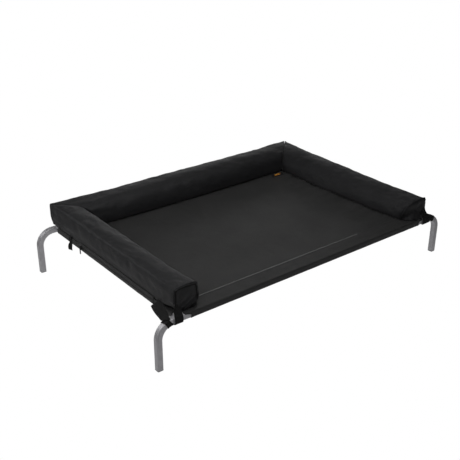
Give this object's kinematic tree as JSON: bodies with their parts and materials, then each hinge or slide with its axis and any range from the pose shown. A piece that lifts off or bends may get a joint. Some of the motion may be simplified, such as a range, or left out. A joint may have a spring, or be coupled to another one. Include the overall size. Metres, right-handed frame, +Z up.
{
  "type": "elevated dog bed",
  "caption": "Raised rectangular dog bed: square-tube frame on bent corner legs, stretched fabric sling and a U-shaped padded bolster strapped round three sides.",
  "frame": {"origin": "on the floor, at the centre of the four feet", "axes": "+X along the long side, +Y towards the closed back of the bolster, +Z up"},
  "size_m": [1.3, 0.8253, 0.2509],
  "materials": {
    "frame_paint": "satin",
    "zinc_steel": "satin",
    "black_plastic": "matte",
    "sling_cloth": "matte",
    "bolster_cloth": "satin",
    "foam": "matte",
    "zip_tape": "matte",
    "zip_metal": "satin",
    "webbing": "matte",
    "label_cloth": "matte"
  },
  "bodies": {
    "bed": {"bolster_cover_back": "bolster_cloth", "bolster_cover_left": "bolster_cloth", "bolster_cover_right": "bolster_cloth", "bolster_foam_back": "foam", "bolster_foam_left": "foam", "bolster_foam_right": "foam", "corner_bolts": "zinc_steel", "corner_washers": "zinc_steel", "cross_rail_left": "frame_paint", "cross_rail_right": "frame_paint", "foot_plug_back_left": "black_plastic", "foot_plug_back_right": "black_plastic", "foot_plug_front_left": "black_plastic", "foot_plug_front_right": "black_plastic", "joiner_back_left": "zinc_steel", "joiner_back_right": "zinc_steel", "joiner_front_left": "zinc_steel", "joiner_front_right": "zinc_steel", "label": "label_cloth", "leg_back_left": "frame_paint", "leg_back_right": "frame_paint", "leg_front_left": "frame_paint", "leg_front_right": "frame_paint", "nut_inserts": "zinc_steel", "rail_back": "frame_paint", "rail_front": "frame_paint", "sling_panel": "sling_cloth", "sling_sleeve_back": "sling_cloth", "sling_sleeve_front": "sling_cloth", "sling_sleeve_left": "sling_cloth", "sling_sleeve_right": "sling_cloth", "strap_back_left": "webbing", "strap_back_right": "webbing", "strap_inner_front_left": "webbing", "strap_inner_front_right": "webbing", "strap_outer_front_left": "webbing", "strap_outer_front_right": "webbing", "zip_back": "zip_tape", "zip_left": "zip_tape", "zip_right": "zip_tape"},
    "zip_pull_back": {"zip_pull_back": "zip_metal"},
    "zip_pull_left": {"zip_pull_left": "zip_metal"},
    "zip_pull_right": {"zip_pull_right": "zip_metal"},
    "zip_slider_back": {"zip_slider_back": "zip_metal"},
    "zip_slider_left": {"zip_slider_left": "zip_metal"},
    "zip_slider_right": {"zip_slider_right": "zip_metal"}
  },
  "joints": [
    {"name": "zip_left_slide", "type": "slide", "parent": "bed", "child": "zip_slider_left", "axis": [0, 1, 0], "range_m": [-0.42, 0]},
    {"name": "zip_pull_left_swing", "type": "hinge", "parent": "zip_slider_left", "child": "zip_pull_left", "pos_m": [-0.5822, 0.186, 0.1605], "axis": [0, 1, 0], "range_deg": [-6, 160]},
    {"name": "zip_right_slide", "type": "slide", "parent": "bed", "child": "zip_slider_right", "axis": [0, 1, 0], "range_m": [-0.42, 0]},
    {"name": "zip_pull_right_swing", "type": "hinge", "parent": "zip_slider_right", "child": "zip_pull_right", "pos_m": [0.5822, 0.186, 0.1605], "axis": [0, -1, 0], "range_deg": [-6, 160]},
    {"name": "zip_back_slide", "type": "slide", "parent": "bed", "child": "zip_slider_back", "axis": [1, 0, 0], "range_m": [-0.81, 0]},
    {"name": "zip_pull_back_swing", "type": "hinge", "parent": "zip_slider_back", "child": "zip_pull_back", "pos_m": [0.406, 0.4176, 0.1794], "axis": [1, 0, 0], "range_deg": [-6, 160]}
  ]
}
